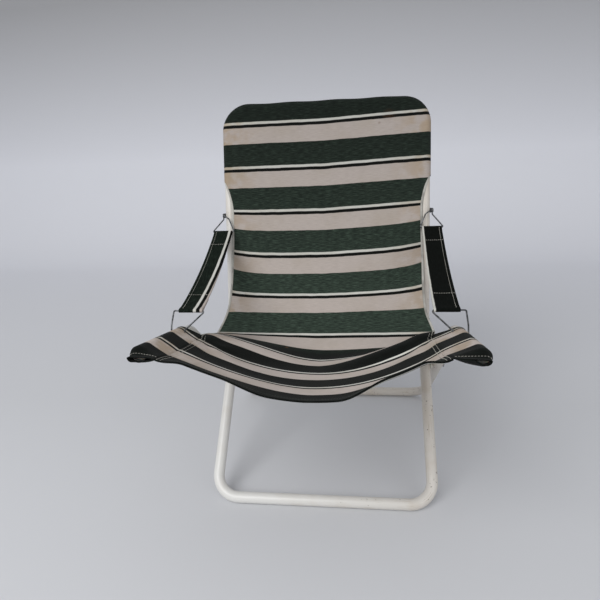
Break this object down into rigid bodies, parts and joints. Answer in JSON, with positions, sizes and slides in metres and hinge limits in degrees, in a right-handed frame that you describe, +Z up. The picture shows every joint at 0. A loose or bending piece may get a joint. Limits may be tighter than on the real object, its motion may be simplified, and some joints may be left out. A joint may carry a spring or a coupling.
{
  "type": "folding sling lawn chair",
  "caption": "Folding chair of crossed bent steel tube frames with a striped canvas sling seat, a head pocket, sleeved seat arms and cloth armrests hung on wire bails.",
  "frame": {"origin": "middle of the footprint of the opened chair, on the floor", "axes": "+X across the chair to the right-hand side as seen from the front, +Y to the back of the chair, +Z up; the seat opens towards -Y"},
  "size_m": [0.5592, 0.7126, 0.8293],
  "materials": {
    "white_paint": "gloss enamel, scratched",
    "zinc_steel": "dull zinc",
    "dark_wire": "darkened spring wire",
    "white_plastic": "matte",
    "striped_canvas": "woven cotton canvas with dark green, white, black and cream stripes"
  },
  "bodies": {
    "back_frame": {"front_leg_hoop": "white_paint", "back_hoop": "white_paint", "joint_rivet_left": "zinc_steel", "joint_rivet_right": "zinc_steel", "pivot_rivet_left": "zinc_steel", "pivot_rivet_right": "zinc_steel", "pivot_spacer_left": "white_plastic", "pivot_spacer_right": "white_plastic", "upper_bail_pin_left": "zinc_steel", "upper_bail_pin_right": "zinc_steel", "head_pocket": "striped_canvas", "sling_back": "striped_canvas"},
    "seat_frame": {"seat_frame_tube": "white_paint", "arm_end_cap_left": "white_plastic", "arm_end_cap_right": "white_plastic", "lower_bail_pin_left": "zinc_steel", "lower_bail_pin_right": "zinc_steel", "arm_sleeve_left": "striped_canvas", "arm_sleeve_right": "striped_canvas", "sling_seat": "striped_canvas"},
    "upper_bail_left": {"upper_bail_left": "dark_wire"},
    "upper_bail_right": {"upper_bail_right": "dark_wire"},
    "armrest_strap_left": {"armrest_strap_left": "striped_canvas"},
    "armrest_strap_right": {"armrest_strap_right": "striped_canvas"},
    "lower_bail_left": {"lower_bail_left": "dark_wire"},
    "lower_bail_right": {"lower_bail_right": "dark_wire"}
  },
  "joints": [
    {"name": "fold", "type": "hinge", "parent": "back_frame", "child": "seat_frame", "pos_m": [0, 0.08929, 0.228], "axis": [-1, 0, 0], "range_deg": [0, 60], "deforming": ["sling_seat"]},
    {"name": "upper_bail_swing_left", "type": "hinge", "parent": "back_frame", "child": "upper_bail_left", "pos_m": [0, 0.19359, 0.57302], "axis": [1, 0, 0], "range_deg": [0, 5.1]},
    {"name": "armrest_strap_swing_left", "type": "hinge", "parent": "upper_bail_left", "child": "armrest_strap_left", "pos_m": [0, 0.16214, 0.53809], "axis": [1, 0, 0], "range_deg": [0, 39.5], "deforming": ["armrest_strap_left"]},
    {"name": "lower_bail_swing_left", "type": "hinge", "parent": "seat_frame", "child": "lower_bail_left", "pos_m": [0, -0.16391, 0.40366], "axis": [-1, 0, 0], "range_deg": [0, 50.1]},
    {"name": "upper_bail_swing_right", "type": "hinge", "parent": "back_frame", "child": "upper_bail_right", "pos_m": [0, 0.19359, 0.57302], "axis": [1, 0, 0], "range_deg": [0, 5.1]},
    {"name": "armrest_strap_swing_right", "type": "hinge", "parent": "upper_bail_right", "child": "armrest_strap_right", "pos_m": [0, 0.16214, 0.53809], "axis": [1, 0, 0], "range_deg": [0, 39.5], "deforming": ["armrest_strap_right"]},
    {"name": "lower_bail_swing_right", "type": "hinge", "parent": "seat_frame", "child": "lower_bail_right", "pos_m": [0, -0.16391, 0.40366], "axis": [-1, 0, 0], "range_deg": [0, 50.1]}
  ],
  "couplings": [
    {"joint": "upper_bail_swing_left", "follows": "fold", "ratio": 0.08333},
    {"joint": "armrest_strap_swing_left", "follows": "fold", "ratio": 0.65667},
    {"joint": "lower_bail_swing_left", "follows": "fold", "ratio": 0.83333},
    {"joint": "upper_bail_swing_right", "follows": "fold", "ratio": 0.08333},
    {"joint": "armrest_strap_swing_right", "follows": "fold", "ratio": 0.65667},
    {"joint": "lower_bail_swing_right", "follows": "fold", "ratio": 0.83333}
  ]
}
